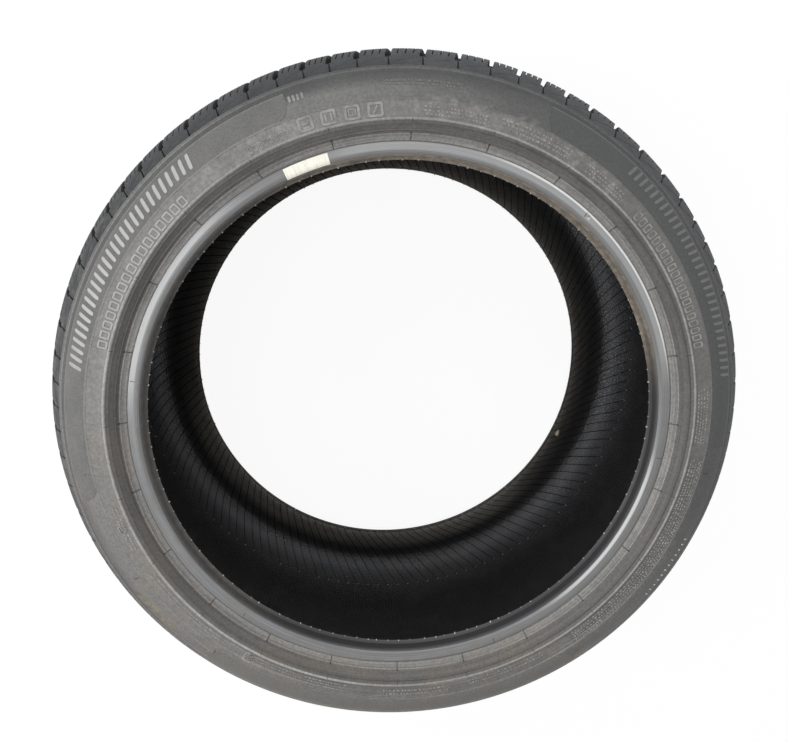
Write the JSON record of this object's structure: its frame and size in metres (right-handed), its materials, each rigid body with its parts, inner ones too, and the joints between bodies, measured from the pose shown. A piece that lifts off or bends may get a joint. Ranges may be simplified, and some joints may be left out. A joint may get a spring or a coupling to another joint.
{
  "type": "car tyre",
  "caption": "Low profile passenger car tyre with grooved and slotted tread, rim protectors, two beads and an open air cavity, lying on its side.",
  "frame": {"origin": "centre of the tyre, on its axis and halfway between its two sides", "axes": "+Z along the tyre's axis towards the side that the picture shows, +X to the right in the picture, +Y up in it"},
  "size_m": [0.714, 0.7138, 0.305],
  "materials": {
    "rubber": "dusty matte, satin on the beads",
    "paper": "matte paper"
  },
  "bodies": {
    "root": {"tyre": "rubber", "bead_label": "paper"}
  },
  "joints": []
}
